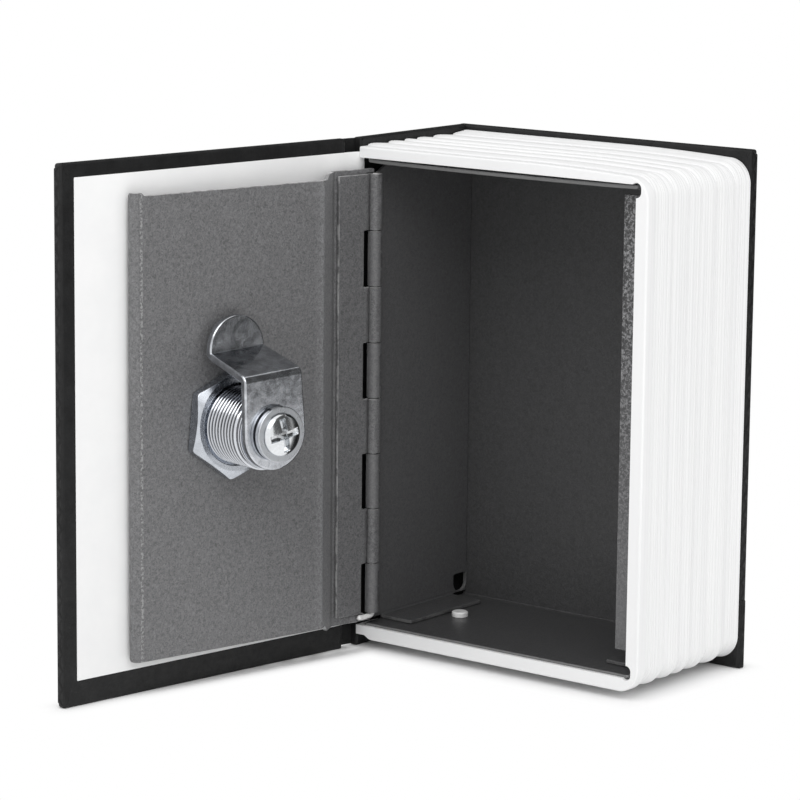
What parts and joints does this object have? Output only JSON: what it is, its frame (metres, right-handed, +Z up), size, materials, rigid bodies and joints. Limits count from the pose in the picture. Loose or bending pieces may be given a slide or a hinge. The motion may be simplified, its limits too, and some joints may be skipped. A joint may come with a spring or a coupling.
{
  "type": "book diversion safe",
  "caption": "Hollow book with a hinged front cover; inside it a small steel cash box whose hinged door is held by a cam lock.",
  "frame": {"origin": "middle of the back cover's bottom edge face, where the standing book rests", "axes": "+Z up along the book's height, +Y out of the back cover, +X from the spine to the fore edge"},
  "size_m": [0.0949, 0.1255, 0.118],
  "materials": {
    "leatherette": "fine grained black leatherette",
    "greyboard": "raw board",
    "endpaper": "smooth white",
    "page_plastic": "white, ribbed like pages",
    "grey_paint": "grey hammered enamel",
    "zinc": "bright zinc plate",
    "rivet_metal": "bare",
    "brass": "machined",
    "spring_steel": "drawn wire"
  },
  "bodies": {
    "case": {"back_cover_wrap": "leatherette", "back_board": "greyboard", "back_endpaper": "endpaper", "spine_wrap": "leatherette", "spine_board": "greyboard", "joint_cloth": "leatherette", "joint_endpaper": "endpaper", "page_block": "page_plastic", "box_tray": "grey_paint", "box_hinge_side": "grey_paint", "box_lock_side": "grey_paint", "floor_rivet": "rivet_metal"},
    "front_cover": {"front_cover_wrap": "leatherette", "front_board": "greyboard", "front_endpaper": "endpaper"},
    "door": {"door_panel": "grey_paint", "door_hinge_leaf": "grey_paint", "hinge_pin": "zinc", "lock_housing": "zinc", "lock_nut": "zinc"},
    "lock_barrel": {"lock_plug": "brass", "wafer_1": "brass", "wafer_2": "brass", "wafer_3": "brass", "wafer_4": "brass", "wafer_spring_1": "spring_steel", "wafer_spring_2": "spring_steel", "wafer_spring_3": "spring_steel", "wafer_spring_4": "spring_steel", "stop_washer": "zinc", "lock_cam": "zinc", "split_washer": "zinc", "flat_washer": "zinc", "cam_screw": "zinc"}
  },
  "joints": [
    {"name": "door_hinge", "type": "hinge", "parent": "case", "child": "door", "pos_m": [-0.03472, -0.0397, 0.0587], "axis": [0, 0, 1], "range_deg": [0, 102.5]},
    {"name": "cover_hinge", "type": "hinge", "parent": "case", "child": "front_cover", "pos_m": [-0.04088, -0.0435, 0.059], "axis": [0, 0, 1], "range_deg": [0, 99.2], "deforming": ["joint_cloth", "joint_endpaper"]},
    {"name": "lock_turn", "type": "hinge", "parent": "door", "child": "lock_barrel", "pos_m": [-0.04423, -0.08256, 0.0587], "axis": [0.9763, -0.2164, 0], "range_deg": [0, 84]}
  ],
  "couplings": [
    {"joint": "cover_hinge", "follows": "door_hinge", "ratio": 0.96741}
  ]
}
